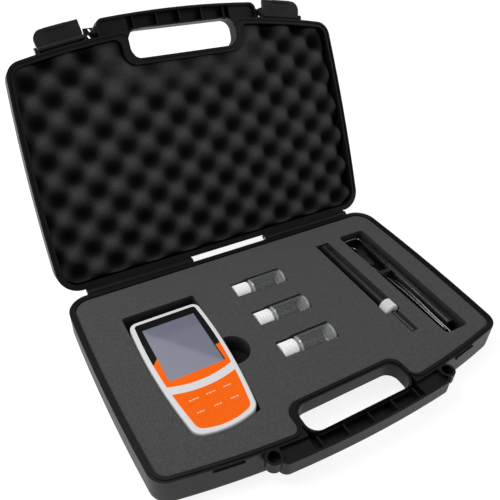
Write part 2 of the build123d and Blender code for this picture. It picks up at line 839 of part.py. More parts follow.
with BuildPart() as meter_front_shell:
    with BuildSketch(on_meter(meter_split)):
        add(meter_outline())
    extrude(amount=meter_thickness / 2)
    fillet(meter_front_shell.faces().sort_by(Axis.Z)[-1].edges(), radius=face_round)
    with BuildSketch(on_meter(meter_split)):
        add(meter_outline(meter_wall))
    extrude(amount=inside_high - meter_split, mode=Mode.SUBTRACT)
    with BuildSketch(on_meter(meter_split)):
        with Locations(*post_places):
            Circle(screw_post_radius)
    extrude(amount=inside_high - meter_split)
    with BuildSketch(on_meter(meter_face - inlay)):
        add(window_outline())
        add(keypad_outline())
    extrude(amount=inlay, mode=Mode.SUBTRACT)
    with BuildSketch(on_meter(inside_high)):
        add(screen_outline())
        add(key_holes(key_gap))
    extrude(amount=meter_wall, mode=Mode.SUBTRACT)
    with BuildSketch(on_meter(meter_split)):
        add(meter_outline(gasket_inset))
        add(meter_outline(gasket_inset + gasket_width), mode=Mode.SUBTRACT)
    extrude(amount=gasket_height / 2, mode=Mode.SUBTRACT)
    with BuildSketch(on_meter(meter_split)):
        with Locations(*post_places):
            Circle(screw_radius)
    extrude(amount=screw_bite, mode=Mode.SUBTRACT)
    add(socket_bores(), mode=Mode.SUBTRACT)
save(meter_front_shell, "meter_front_shell")

with BuildPart() as meter_rear_shell:
    with BuildSketch(on_meter(meter_split)):
        add(meter_outline())
    extrude(amount=-meter_thickness / 2)
    fillet(meter_rear_shell.faces().sort_by(Axis.Z)[0].edges(), radius=back_round)
    with BuildSketch(on_meter(meter_split)):
        add(meter_outline(meter_wall))
    extrude(amount=inside_low - meter_split, mode=Mode.SUBTRACT)
    with BuildSketch(on_meter(inside_low)):
        with Locations(*post_places):
            Circle(screw_post_radius)
    extrude(amount=meter_split - inside_low)
    with BuildSketch(on_meter(meter_split)):
        add(meter_outline(gasket_inset))
        add(meter_outline(gasket_inset + gasket_width), mode=Mode.SUBTRACT)
    extrude(amount=-gasket_height / 2, mode=Mode.SUBTRACT)
    with BuildSketch(on_meter(meter_base)):
        with Locations(*post_places):
            Circle(screw_radius)
    extrude(amount=meter_thickness, mode=Mode.SUBTRACT)
    with BuildSketch(on_meter(meter_base)):
        with Locations(*post_places):
            Circle(screw_head_radius + screw_head_gap)
    extrude(amount=screw_head_height + 0.6, mode=Mode.SUBTRACT)
    with BuildSketch(on_meter(meter_base)):
        with Locations((0, door_y)):
            RectangleRounded(door_width, door_length, door_corner)
    extrude(amount=meter_wall, mode=Mode.SUBTRACT)
    add(socket_bores(), mode=Mode.SUBTRACT)
save(meter_rear_shell, "meter_rear_shell")

with BuildPart() as meter_gasket:
    with BuildSketch(on_meter(meter_split - gasket_height / 2)):
        add(meter_outline(gasket_inset))
        add(meter_outline(gasket_inset + gasket_width), mode=Mode.SUBTRACT)
    extrude(amount=gasket_height)
    add(socket_bores(), mode=Mode.SUBTRACT)
save(meter_gasket, "meter_gasket")

with BuildPart() as battery_door:
    with BuildSketch(on_meter(meter_base)):
        with Locations((0, door_y)):
            RectangleRounded(door_width - 2 * door_gap, door_length - 2 * door_gap, door_corner - door_gap)
    extrude(amount=meter_wall)
    with BuildSketch(on_meter(meter_base)):
        with Locations((0, door_y - door_length / 2 + 8)):
            with GridLocations(1, 2.4, 1, 4):
                Rectangle(door_width / 2, 1.2)
    extrude(amount=0.8, mode=Mode.SUBTRACT)
save(battery_door, "battery_door")

with BuildPart() as battery_cells:
    for column in (-1, 0, 1):
        cell_x = meter_x + column * (cell_radius * 2 + cell_gap)
        cell_foot = Plane(origin=(cell_x, meter_y + door_y - cell_length / 2, inside_low + cell_gap + cell_radius),
                          x_dir=(1, 0, 0), z_dir=(0, 1, 0))
        with BuildSketch(cell_foot):
            Circle(cell_radius)
        extrude(amount=cell_length)
        with BuildSketch(cell_foot.offset(cell_length)):
            Circle(cell_nub_radius)
        extrude(amount=cell_nub_length)
save(battery_cells, "battery_cells")

board_low = inside_low + 2 * cell_radius + 2 * cell_gap
with BuildPart() as circuit_board:
    with BuildSketch(on_meter(board_low)):
        with Locations((0, (board_head + board_foot) / 2)):
            RectangleRounded(board_width, board_head - board_foot, board_corner)
    extrude(amount=board_thickness)
    with BuildSketch(on_meter(board_low)):
        with Locations(*board_chips):
            Rectangle(chip_width, chip_length)
    extrude(amount=-chip_height)
save(circuit_board, "circuit_board")

board_top = board_low + board_thickness
with BuildPart() as display_module:
    with BuildSketch(on_meter(board_top)):
        add(screen_outline(-display_margin))
    extrude(amount=meter_face - inlay - board_top)
    with BuildSketch(on_meter(board_top)):
        add(screen_outline(display_margin))
    extrude(amount=inside_high - display_gap - board_top)
save(display_module, "display_module")

with BuildPart() as key_mat:
    with BuildSketch(on_meter(board_top)):
        with Locations((0, key_row - key_pitch_y / 2)):
            RectangleRounded(mat_width, mat_depth, key_corner)
    extrude(amount=mat_thickness)
    key_floor = meter_face - key_stem_depth
    with BuildSketch(on_meter(board_top)):
        with Locations((0, key_row - key_pitch_y / 2)):
            with GridLocations(key_pitch_x, key_pitch_y, 3, 2):
                Circle(dome_radius)
    extrude(amount=key_floor - key_travel - dome_gap - board_top)
save(key_mat, "key_mat")

with BuildPart() as screen_window:
    with BuildSketch(on_meter(meter_face - inlay)):
        add(screen_outline())
    extrude(amount=inlay - window_sink)
save(screen_window, "screen_window")

with BuildPart() as screen_surround:
    with BuildSketch(on_meter(meter_face - inlay)):
        add(window_outline())
        add(screen_outline(), mode=Mode.SUBTRACT)
        add(lower_half_outline(), mode=Mode.SUBTRACT)
    extrude(amount=inlay)
save(screen_surround, "screen_surround")

with BuildPart() as screen_trim:
    with BuildSketch(on_meter(meter_face - inlay)):
        add(window_outline())
        add(screen_outline(), mode=Mode.SUBTRACT)
        add(lower_half_outline(), mode=Mode.INTERSECT)
    extrude(amount=inlay)
save(screen_trim, "screen_trim")

with BuildPart() as keypad_plate:
    with BuildSketch(on_meter(meter_face - inlay)):
        add(keypad_outline())
        add(key_holes(key_gap), mode=Mode.SUBTRACT)
    extrude(amount=inlay)
save(keypad_plate, "keypad_plate")

for row in range(2):
    for column in range(3):
        key_place = ((column - 1) * key_pitch_x, key_row - row * key_pitch_y)
        with BuildPart() as key:
            with BuildSketch(on_meter(key_floor)):
                with Locations(key_place):
                    RectangleRounded(key_width, key_depth, key_corner)
            extrude(amount=key_stem_depth + key_proud)
            fillet(key.faces().sort_by(Axis.Z)[-1].edges(), radius=key_edge)
            with BuildSketch(on_meter(key_floor)):
                with Locations(key_place):
                    RectangleRounded(key_width + 2 * key_flange, key_depth + 2 * key_flange,
                                     key_corner + key_flange)
            extrude(amount=inside_high - key_rest_gap - key_floor)
        save(key, f"key_{row * 3 + column + 1}")

with BuildPart() as meter_screws:
    with BuildSketch(on_meter(meter_base + 0.6)):
        with Locations(*post_places):
            Circle(screw_head_radius)
    extrude(amount=screw_head_height)
    with BuildSketch(on_meter(meter_base + 0.6)):
        with Locations(*post_places):
            Circle(screw_radius)
    extrude(amount=meter_split - meter_base - 0.6 + screw_bite - 0.4)
    with BuildSketch(on_meter(meter_base + 0.6)):
        with Locations(*post_places):
            Rectangle(2.8, 0.6)
            Rectangle(0.6, 2.8)
    extrude(amount=0.7, mode=Mode.SUBTRACT)
save(meter_screws, "meter_screws")

for side, name in ((-1, "left"), (1, "right")):
    face = Plane(origin=(meter_x + side * socket_x, meter_head, meter_split), x_dir=(-1, 0, 0), z_dir=(0, 1, 0))
    with BuildPart() as socket:
        with BuildSketch(face.offset(-2 * meter_wall)):
            Circle(socket_body_radius)
        extrude(amount=2 * meter_wall + socket_length)
        with BuildSketch(face):
            Circle(socket_flange_radius)
        extrude(amount=socket_flange)
        with BuildSketch(face.offset(socket_length)):
            Circle(socket_body_radius - socket_wall)
            Circle(socket_pin_radius, mode=Mode.SUBTRACT)
        extrude(amount=-socket_length, mode=Mode.SUBTRACT)
    save(socket, f"meter_socket_{name}")

# ------------------------------------------------------------------ sample vials
vial_shoulder = vial_left + vial_cap_length
for index, row in enumerate(vial_rows):
    # Profiles are drawn with X along the vial and Y outward from its axis.
    axis_plane = Plane(origin=(0, row, vial_z), x_dir=(1, 0, 0), z_dir=(0, -1, 0))
    spin = Axis((0, row, vial_z), (1, 0, 0))
    end = vial_left + vial_length
    body = vial_shoulder + shoulder_length + 1.6
    inner = vial_radius - vial_wall
    mouth = vial_left + vial_cap_wall + liner_thickness
    with BuildPart() as vial_glass:
        with BuildSketch(axis_plane):
            with BuildLine():
                Line((mouth, vial_bore), (mouth, vial_neck_radius))
                Line((mouth, vial_neck_radius), (vial_shoulder + neck_show, vial_neck_radius))
                Line((vial_shoulder + neck_show, vial_neck_radius), (body - 1.6, vial_radius - 1.2))
                Line((body - 1.6, vial_radius - 1.2), (body, vial_radius))
                Line((body, vial_radius), (end - foot_round, vial_radius))
                RadiusArc((end - foot_round, vial_radius), (end, vial_radius - foot_round), foot_round)
                Line((end, vial_radius - foot_round), (end, 0))
                Line((end, 0), (end - vial_foot, 0))
                Line((end - vial_foot, 0), (end - vial_foot, inner))
                Line((end - vial_foot, inner), (body, inner))
                Line((body, inner), (vial_shoulder + neck_show, vial_bore))
                Line((vial_shoulder + neck_show, vial_bore), (mouth, vial_bore))
            make_face()
        revolve(axis=spin)
    save(vial_glass, f"vial_{index + 1}_glass")

    with BuildPart() as vial_cap:
        with BuildSketch(Plane.YZ.offset(vial_left)):
            with Locations((row, vial_z)):
                Circle(vial_cap_radius - cap_rib)
                with PolarLocations(vial_cap_radius - cap_rib, cap_rib_count):
                    Circle(cap_rib)
        extrude(amount=vial_cap_length)
        with BuildSketch(Plane.YZ.offset(vial_left)):
            with Locations((row, vial_z)):
                Circle(vial_cap_radius)
                Circle(vial_cap_radius - cap_lead, mode=Mode.SUBTRACT)
        extrude(amount=cap_lead, mode=Mode.SUBTRACT)
        with BuildSketch(Plane.YZ.offset(vial_left + vial_cap_wall)):
            with Locations((row, vial_z)):
                Circle(vial_neck_radius + vial_cap_clearance)
        extrude(amount=vial_cap_length, mode=Mode.SUBTRACT)
    save(vial_cap, f"vial_{index + 1}_cap")

    with BuildPart() as cap_liner:
        with BuildSketch(Plane.YZ.offset(vial_left + vial_cap_wall)):
            with Locations((row, vial_z)):
                Circle(vial_neck_radius + vial_cap_clearance)
        extrude(amount=liner_thickness)
    save(cap_liner, f"vial_{index + 1}_liner")

# ------------------------------------------------------------------ probe in the narrow slot
def along_probe(y):
    return Plane(origin=(probe_x, y, probe_z), x_dir=(-1, 0, 0), z_dir=(0, 1, 0))


with BuildPart() as probe_head:
    with BuildSketch(along_probe(probe_seam)):
        Circle(probe_radius)
    extrude(amount=probe_top - probe_seam)
    chamfer(probe_head.faces().sort_by(Axis.Y)[-1].edges(), length=probe_edge)
    with BuildSketch(along_probe(probe_seam)):
        Circle(probe_radius - probe_wall)
    extrude(amount=probe_top - probe_seam - probe_head_wall, mode=Mode.SUBTRACT)
    with BuildSketch(along_probe(probe_top)):
        Circle(probe_socket_radius)
    extrude(amount=-probe_top + probe_seam, mode=Mode.SUBTRACT)
    for groove in range(3):
        with BuildSketch(along_probe(probe_top - 9 - 3 * groove)):
            Circle(probe_radius)
            Circle(probe_radius - 0.5, mode=Mode.SUBTRACT)
        extrude(amount=-1.2, mode=Mode.SUBTRACT)
save(probe_head, "probe_head")

with BuildPart() as probe_body:
    with BuildSketch(along_probe(probe_collar_top)):
        Circle(probe_radius)
    extrude(amount=probe_seam - seam_width - probe_collar_top)
    chamfer(probe_body.faces().sort_by(Axis.Y)[-1].edges(), length=0.5)
    # Spigots: one enters the head, the other carries the collar.
    with BuildSketch(along_probe(probe_seam - seam_width)):
        Circle(probe_radius - probe_wall)
    extrude(amount=spigot_length)
    with BuildSketch(along_probe(probe_collar_top)):
        Circle(spigot_radius)
    extrude(amount=-collar_bite)
    with BuildSketch(along_probe(probe_collar_top - collar_bite)):
        Circle(cartridge_radius)
    extrude(amount=probe_seam - probe_collar_foot + spigot_length, mode=Mode.SUBTRACT)
    with BuildSketch(along_probe(probe_collar_top + collar_bite)):
        Circle(probe_radius - probe_wall)
    extrude(amount=probe_seam - seam_width - spigot_length - probe_collar_top - collar_bite, mode=Mode.SUBTRACT)
save(probe_body, "probe_body")

with BuildPart() as probe_seal:
    with BuildSketch(along_probe(probe_seam - seam_width)):
        Circle(probe_radius - 0.4)
        Circle(probe_radius - probe_wall, mode=Mode.SUBTRACT)
    extrude(amount=seam_width)
save(probe_seal, "probe_seal")

with BuildPart() as probe_stem:
    with BuildSketch(along_probe(probe_collar_top - collar_bite)):
        Circle(cartridge_radius)
    extrude(amount=cartridge_length)
    with BuildSketch(along_probe(probe_foot)):
        Circle(stem_radius)
    extrude(amount=probe_collar_top - collar_bite - probe_foot)
    fillet(probe_stem.faces().sort_by(Axis.Y)[0].edges(), radius=stem_radius - 0.4)
save(probe_stem, "probe_stem")

with BuildPart() as probe_collar:
    with BuildSketch(along_probe(probe_collar_foot)):
        Circle(collar_radius - collar_rib)
        with PolarLocations(collar_radius - collar_rib, collar_rib_count):
            Circle(collar_rib)
    extrude(amount=probe_collar_top - probe_collar_foot - collar_gap)
    with BuildSketch(along_probe(probe_collar_foot)):
        Circle(collar_radius)
        Circle(collar_radius - 1.4, mode=Mode.SUBTRACT)
    extrude(amount=1.2, mode=Mode.SUBTRACT)
    with BuildSketch(along_probe(probe_collar_top)):
        Circle(spigot_radius + pin_clearance)
    extrude(amount=-collar_bite - collar_gap, mode=Mode.SUBTRACT)
    with BuildSketch(along_probe(probe_collar_foot)):
        Circle(stem_radius + pin_clearance)
    extrude(amount=probe_collar_top - probe_collar_foot, mode=Mode.SUBTRACT)
save(probe_collar, "probe_collar")

# ------------------------------------------------------------------ electrode and lead in the wide slot
electrode_head = electrode_length / 2
electrode_tip = -electrode_length / 2
cap_foot = electrode_head - electrode_cap_length


def along_electrode(y):
    """A plane across the electrode at y along it, measured from its middle."""
    turn = radians(electrode_turn)
    return Plane(origin=(electrode_x + y * sin(turn), electrode_y + y * cos(turn), electrode_z),
                 x_dir=(-cos(turn), sin(turn), 0), z_dir=(sin(turn), cos(turn), 0))


with BuildPart() as electrode_cap:
    with BuildSketch(along_electrode(cap_foot)):
        Circle(electrode_radius)
    extrude(amount=electrode_cap_length)
    chamfer(electrode_cap.faces().sort_by(Axis.Y)[-1].edges(), length=1.2)
    with BuildSketch(along_electrode(cap_foot)):
        Circle(tube_radius)
    extrude(amount=cap_bore, mode=Mode.SUBTRACT)
    for groove in range(5):
        with BuildSketch(along_electrode(electrode_head - 8 - 4 * groove)):
            Circle(electrode_radius)
            Circle(electrode_radius - 0.5, mode=Mode.SUBTRACT)
        extrude(amount=-1.6, mode=Mode.SUBTRACT)
save(electrode_cap, "electrode_cap")

with BuildPart() as electrode_tube:
    with BuildSketch(along_electrode(electrode_tip + bulb_room)):
        Circle(tube_radius)
        Circle(tube_radius - tube_wall, mode=Mode.SUBTRACT)
    extrude(amount=cap_foot + cap_bore - electrode_tip - bulb_room)
save(electrode_tube, "electrode_tube")

with BuildPart() as electrode_bulb:
    with BuildSketch(along_electrode(electrode_tip + bulb_room + 2)):
        Circle(inner_glass_radius)
    extrude(amount=cap_foot + cap_bore - electrode_tip - bulb_room - 2)
    with Locations(along_electrode(electrode_tip + bulb_room + 2).origin):
        Sphere(bulb_radius)
save(electrode_bulb, "electrode_bulb")

with BuildPart() as electrode_boot:
    with BuildSketch(along_electrode(electrode_tip)):
        Circle(electrode_radius)
    extrude(amount=electrode_boot_length)
    fillet(electrode_boot.faces().sort_by(Axis.Y)[0].edges(), radius=1.5)
    with BuildSketch(along_electrode(electrode_tip + boot_floor)):
        Circle(tube_radius)
    extrude(amount=electrode_boot_length, mode=Mode.SUBTRACT)
save(electrode_boot, "electrode_boot")

with BuildPart() as lead_relief:
    with BuildSketch(along_electrode(electrode_head)):
        Circle(relief_radius)
    with BuildSketch(along_electrode(electrode_head + relief_length)):
        Circle(lead_radius)
    loft()
save(lead_relief, "lead_relief")

relief_end = along_electrode(electrode_head + relief_length).origin
plug_frame = Plane(origin=(plug_x, plug_y - plug_length / 2, plug_z), x_dir=(-1, 0, 0), z_dir=(0, 1, 0))
hank_front = slot_front + hank_gap
hank_back = slot_back - hank_gap


def hank_edge(y):
    """X of the lead's right side where it lies beside the electrode."""
    return electrode_x + (y - electrode_y) * tan(radians(electrode_turn)) - electrode_radius - hank_clearance


with BuildPart() as lead_hank:
    # One closed shape round the folded lead, with folds past both ends of the electrode.
    with BuildSketch(Plane.XY.offset(hank_low)):
        with BuildLine():
            Polyline((hank_left, hank_front), (hank_fold_right, hank_front), (hank_fold_right, hank_fold_front),
                     (hank_edge(hank_fold_front), hank_fold_front),
                     (hank_edge(relief_end.Y), relief_end.Y + relief_gap),
                     (relief_end.X + electrode_radius, relief_end.Y + relief_gap),
                     (relief_end.X + electrode_radius, hank_back), (hank_left, hank_back), close=True)
        hank_plan = make_face()
        fillet(hank_plan.vertices().group_by(Axis.X)[0], radius=hank_corner)
    extrude(amount=hank_high - hank_low)
    with BuildSketch(plug_frame.offset(-plug_gap)):
        Rectangle(2 * (plug_nut_radius + plug_gap), 2 * (plug_nut_radius + plug_gap))
    extrude(amount=plug_length + 2 * plug_gap, mode=Mode.SUBTRACT)
save(lead_hank, "lead_hank")

with BuildPart() as lead_plug:
    with BuildSketch(plug_frame):
        Circle(plug_radius)
    extrude(amount=plug_length)
    chamfer(lead_plug.faces().sort_by(Axis.Y)[0].edges(), length=2.5)
    with BuildSketch(plug_frame.offset(plug_length - plug_nut_length)):
        Circle(plug_nut_radius - plug_rib)
        with PolarLocations(plug_nut_radius - plug_rib, plug_rib_count):
            Circle(plug_rib)
    extrude(amount=plug_nut_length)
    with BuildSketch(plug_frame.offset(plug_length)):
        Circle(plug_radius - 1.0)
        Circle(plug_pin_radius, mode=Mode.SUBTRACT)
    extrude(amount=-plug_nut_length + 3, mode=Mode.SUBTRACT)
save(lead_plug, "lead_plug")

with BuildPart() as lead_tie:
    tie_right = hank_edge(tie_y + tie_width)
    with BuildSketch(Plane(origin=((hank_left + tie_right) / 2, tie_y, (hank_low + hank_high) / 2),
                           x_dir=(-1, 0, 0), z_dir=(0, 1, 0))):
        tie_across = tie_right - hank_left
        tie_up = hank_high - hank_low
        RectangleRounded(tie_across + 2 * tie_thickness, tie_up + 2 * tie_thickness, 1.2)
        Rectangle(tie_across, tie_up, mode=Mode.SUBTRACT)
    extrude(amount=tie_width)
save(lead_tie, "lead_tie")
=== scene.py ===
import json
import math

import bmesh
import bpy
from mathutils import Matrix, Vector


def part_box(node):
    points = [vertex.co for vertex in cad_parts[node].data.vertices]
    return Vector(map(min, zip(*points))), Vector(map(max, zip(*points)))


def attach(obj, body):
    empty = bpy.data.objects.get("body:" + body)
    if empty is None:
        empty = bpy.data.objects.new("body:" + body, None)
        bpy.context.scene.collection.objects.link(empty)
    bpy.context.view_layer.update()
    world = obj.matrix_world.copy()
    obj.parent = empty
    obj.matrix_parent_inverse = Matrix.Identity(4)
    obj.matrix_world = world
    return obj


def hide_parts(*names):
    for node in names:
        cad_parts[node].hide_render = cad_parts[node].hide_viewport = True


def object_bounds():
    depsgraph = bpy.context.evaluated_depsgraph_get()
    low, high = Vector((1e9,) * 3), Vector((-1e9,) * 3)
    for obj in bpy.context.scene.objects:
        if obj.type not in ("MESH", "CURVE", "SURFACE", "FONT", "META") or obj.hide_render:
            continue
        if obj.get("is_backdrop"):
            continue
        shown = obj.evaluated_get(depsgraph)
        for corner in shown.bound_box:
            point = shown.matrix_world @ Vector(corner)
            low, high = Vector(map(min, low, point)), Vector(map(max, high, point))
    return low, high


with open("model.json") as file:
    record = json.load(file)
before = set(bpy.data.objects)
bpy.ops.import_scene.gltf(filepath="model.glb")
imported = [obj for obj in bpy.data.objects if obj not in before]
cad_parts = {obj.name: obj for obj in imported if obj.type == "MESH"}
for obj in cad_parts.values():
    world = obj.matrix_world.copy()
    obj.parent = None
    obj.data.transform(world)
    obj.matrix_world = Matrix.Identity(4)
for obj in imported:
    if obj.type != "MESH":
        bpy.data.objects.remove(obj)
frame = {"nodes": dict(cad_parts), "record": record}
cad_low, cad_high = (Vector(corner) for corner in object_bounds())

MM = 0.001  # the scene is in metres; the sizes named below are in millimetres, unless they say metres

# ------------------------------------------------------------------ camera
CAMERA_PLACE = Vector((-268.9, -375.8, 478.9)) * MM
CAMERA_AZIMUTH = math.radians(-30.43)
CAMERA_HEIGHT_ANGLE = math.radians(37.5)
CAMERA_ROLL = math.radians(2.09)
CAMERA_LENS = 39.09
SENSOR_WIDTH = 36.0
CAMERA_NEAR = 0.01  # metres


def make_camera():
    back = Vector((math.sin(CAMERA_AZIMUTH) * math.cos(CAMERA_HEIGHT_ANGLE),
                   -math.cos(CAMERA_AZIMUTH) * math.cos(CAMERA_HEIGHT_ANGLE),
                   math.sin(CAMERA_HEIGHT_ANGLE)))
    right = Vector((0, 0, 1)).cross(back).normalized()
    up = back.cross(right)
    tilt_right = math.cos(CAMERA_ROLL) * right + math.sin(CAMERA_ROLL) * up
    tilt_up = -math.sin(CAMERA_ROLL) * right + math.cos(CAMERA_ROLL) * up
    data = bpy.data.cameras.new("camera")
    data.lens = CAMERA_LENS
    data.sensor_width = SENSOR_WIDTH
    data.clip_start = CAMERA_NEAR
    camera = bpy.data.objects.new("camera", data)
    bpy.context.scene.collection.objects.link(camera)
    turn = Matrix((tilt_right, tilt_up, back)).transposed().to_4x4()
    camera.matrix_world = Matrix.Translation(CAMERA_PLACE) @ turn
    bpy.context.scene.camera = camera


# ------------------------------------------------------------------ the open lid and its foam
LID_ANGLE = math.radians(115.94)
HINGE = Vector((0, 135.85, 35.7)) * MM
LID_RISE = 2.7  # of the shut lid's rim above the hinge pin
CRATE_FACE = 6.2  # highest bumps, above the lid's rim when it is shut
CRATE_DEPTH = 16.0
CRATE_SHALLOW_DEPTH = 7.0  # of the bumps over the grip's hollow
CRATE_SLOPE = 18.0  # over this width the depth goes from shallow to full
CRATE_ROUNDNESS = 1.3
CRATE_HALF_WIDTH = 216.0  # of the waved solid, which is larger than the foam
CRATE_HALF_LENGTH = 160.0
CRATE_BACK = 60.0  # its flat back, above the rim
CRATE_PITCH_X = 48.3
CRATE_PITCH_Y = 44.5
CRATE_STEP = 2.4  # between the points of its mesh
BLOCK_HALF = 97.0  # the foam is thin over the hollow under the grip: inside this half width
BLOCK_EDGE = 95.0  # and in front of this line
LID_INWARD = Vector((0, -math.sin(LID_ANGLE), -math.cos(LID_ANGLE)))
LID_FACE_HIGH = HINGE.dot(LID_INWARD) - (LID_RISE + CRATE_FACE) * MM
LID_FACE_LOW = LID_FACE_HIGH - CRATE_DEPTH * MM


# ------------------------------------------------------------------ node helpers
def new_material(name):
    material = bpy.data.materials.new(name)
    material.use_nodes = True
    return material, material.node_tree, material.node_tree.nodes["Principled BSDF"]


def node(tree, kind, **values):
    made = tree.nodes.new(kind)
    for key, value in values.items():
        if key in made.inputs:
            made.inputs[key].default_value = value
        else:
            setattr(made, key, value)
    return made


def object_noise(tree, scale, detail=3.0, roughness=0.55):
    """Noise over the frame's own coordinates, so its grain has a real size in metres."""
    place = node(tree, "ShaderNodeTexCoord")
    noise = node(tree, "ShaderNodeTexNoise", Scale=scale, Detail=detail, Roughness=roughness)
    tree.links.new(place.outputs["Object"], noise.inputs["Vector"])
    return noise.outputs["Fac"]


def ramp(tree, factor, stops):
    made = node(tree, "ShaderNodeValToRGB")
    elements = made.color_ramp.elements
    while len(elements) > len(stops):
        elements.remove(elements[-1])
    while len(elements) < len(stops):
        elements.new(0.5)
    for element, (place, colour) in zip(elements, stops):
        element.position = place
        element.color = (*colour, 1.0)
    tree.links.new(factor, made.inputs["Fac"])
    return made.outputs["Color"]


def bump(tree, shader, height, distance, strength=1.0):
    made = node(tree, "ShaderNodeBump", Strength=strength, Distance=distance)
    tree.links.new(height, made.inputs["Height"])
    tree.links.new(made.outputs["Normal"], shader.inputs["Normal"])


def mapped(tree, value, start, end, low=0.0, high=1.0):
    """The value taken from start..end to low..high."""
    made = node(tree, "ShaderNodeMapRange")
    made.inputs["From Min"].default_value = start
    made.inputs["From Max"].default_value = end
    made.inputs["To Min"].default_value = low
    made.inputs["To Max"].default_value = high
    tree.links.new(value, made.inputs["Value"])
    return made.outputs["Result"]


def object_axes(tree):
    """The object's coordinates, one output for each axis."""
    place = node(tree, "ShaderNodeTexCoord")
    split = node(tree, "ShaderNodeSeparateXYZ")
    tree.links.new(place.outputs["Object"], split.inputs[0])
    return split.outputs


def combined(tree, operation, first, second):
    """Two values put together by one operation of the maths node."""
    made = node(tree, "ShaderNodeMath", operation=operation)
    tree.links.new(first, made.inputs[0])
    tree.links.new(second, made.inputs[1])
    return made.outputs[0]


def grey(level):
    return (level, level, level)


def plastic(name, dark, light, roughness, grain, depth, coat=0.0, specular=0.3):
    """Moulded plastic: a fine spark grain in the surface, and colour that drifts a little.
    The grain is counted per metre, and its depth is in metres."""
    material, tree, shader = new_material(name)
    drift = object_noise(tree, 18.0)
    tree.links.new(ramp(tree, drift, [(0.3, dark), (0.7, light)]), shader.inputs["Base Color"])
    fine = object_noise(tree, grain, detail=2.0)
    rough = mapped(tree, fine, 0.0, 1.0, roughness - 0.06, roughness + 0.06)
    tree.links.new(rough, shader.inputs["Roughness"])
    bump(tree, shader, fine, depth)
    shader.inputs["Coat Weight"].default_value = coat
    shader.inputs["Coat Roughness"].default_value = 0.15
    shader.inputs["Specular IOR Level"].default_value = specular
    return material


def foam_material(name, dark, light, cell, normal, top, deep, shade):
    """Open-cell foam: fine dark pores between pale struts, and less light deep in its pockets.
    Depth is measured along normal, from top down to deep. Cell, top and deep are in metres."""
    material, tree, shader = new_material(name)
    place = node(tree, "ShaderNodeTexCoord")
    pores = node(tree, "ShaderNodeTexVoronoi", Scale=1.0 / cell)
    tree.links.new(place.outputs["Object"], pores.inputs["Vector"])
    grains = object_noise(tree, 0.6 / cell, detail=4.0, roughness=0.7)
    mix = node(tree, "ShaderNodeMix", data_type="FLOAT")
    mix.inputs[0].default_value = 0.5
    tree.links.new(pores.outputs["Distance"], mix.inputs[2])
    tree.links.new(grains, mix.inputs[3])
    colour = ramp(tree, mix.outputs[0], [(0.3, dark), (0.62, light)])
    along = node(tree, "ShaderNodeVectorMath", operation="DOT_PRODUCT")
    along.inputs[1].default_value = normal
    tree.links.new(place.outputs["Object"], along.inputs[0])
    shadow = ramp(tree, mapped(tree, along.outputs["Value"], deep, top), shade)
    dimmed = node(tree, "ShaderNodeMix", data_type="RGBA", blend_type="MULTIPLY")
    dimmed.inputs[0].default_value = 1.0
    tree.links.new(colour, dimmed.inputs[6])
    tree.links.new(shadow, dimmed.inputs[7])
    tree.links.new(dimmed.outputs[2], shader.inputs["Base Color"])
    shader.inputs["Roughness"].default_value = 0.95
    shader.inputs["Specular IOR Level"].default_value = 0.05
    bump(tree, shader, mix.outputs[0], cell * 0.7, 0.9)
    return material


def rubber(name, level, roughness=0.5):
    return plastic(name, grey(level), grey(level * 1.4), roughness, 900.0, 0.00003)


# How dense the glass looks along a vial, from its mouth to its foot: denser at the neck and at the foot,
# painted highlight rings standing in for glints.
VIAL_PAINTED_GLINTS = [(place, grey(level)) for place, level in (
    (0.0, 0.0), (0.24, 0.0), (0.262, 0.75), (0.28, 0.1), (0.305, 0.6),
    (0.33, 0.0), (0.93, 0.0), (0.955, 0.5), (0.975, 0.1), (1.0, 0.7),
)]


def clear_glass(name, tint, face_cover, vial=None):
    """Thin clear glass: faint face on, pale and denser towards its edges as a painted reflection, and, on a
    vial, painted highlight rings at its neck and foot.
    """
    material, tree, shader = new_material(name)
    streaks = object_noise(tree, 60.0)
    darker = tuple(0.9 * c for c in tint)
    tree.links.new(ramp(tree, streaks, [(0.3, tint), (0.7, darker)]), shader.inputs["Base Color"])
    shader.inputs["Roughness"].default_value = 0.12
    shader.inputs["Specular IOR Level"].default_value = 0.9
    shader.inputs["Coat Weight"].default_value = 1.0
    shader.inputs["Coat Roughness"].default_value = 0.03
    # Painted reflection: the glass grows pale and more opaque towards its edges, standing in for glancing
    # reflections.
    edge = node(tree, "ShaderNodeLayerWeight", Blend=0.25)
    cover = mapped(tree, edge.outputs["Facing"], 0.3, 0.97, face_cover, 0.7)
    if vial is not None:
        low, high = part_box(vial)
        along = mapped(tree, object_axes(tree)["X"], low.x, high.x)
        # Painted highlight rings at the vial's neck and foot.
        cover = combined(tree, "MAXIMUM", cover, ramp(tree, along, VIAL_PAINTED_GLINTS))
    tree.links.new(cover, shader.inputs["Alpha"])
    return material


def metal(name, colour, roughness=0.3):
    material, tree, shader = new_material(name)
    wear = object_noise(tree, 300.0)
    lighter = tuple(min(1.0, c * 1.2) for c in colour)
    tree.links.new(ramp(tree, wear, [(0.35, colour), (0.65, lighter)]), shader.inputs["Base Color"])
    shader.inputs["Metallic"].default_value = 1.0
    shader.inputs["Roughness"].default_value = roughness
    bump(tree, shader, wear, 0.00003)
    return material


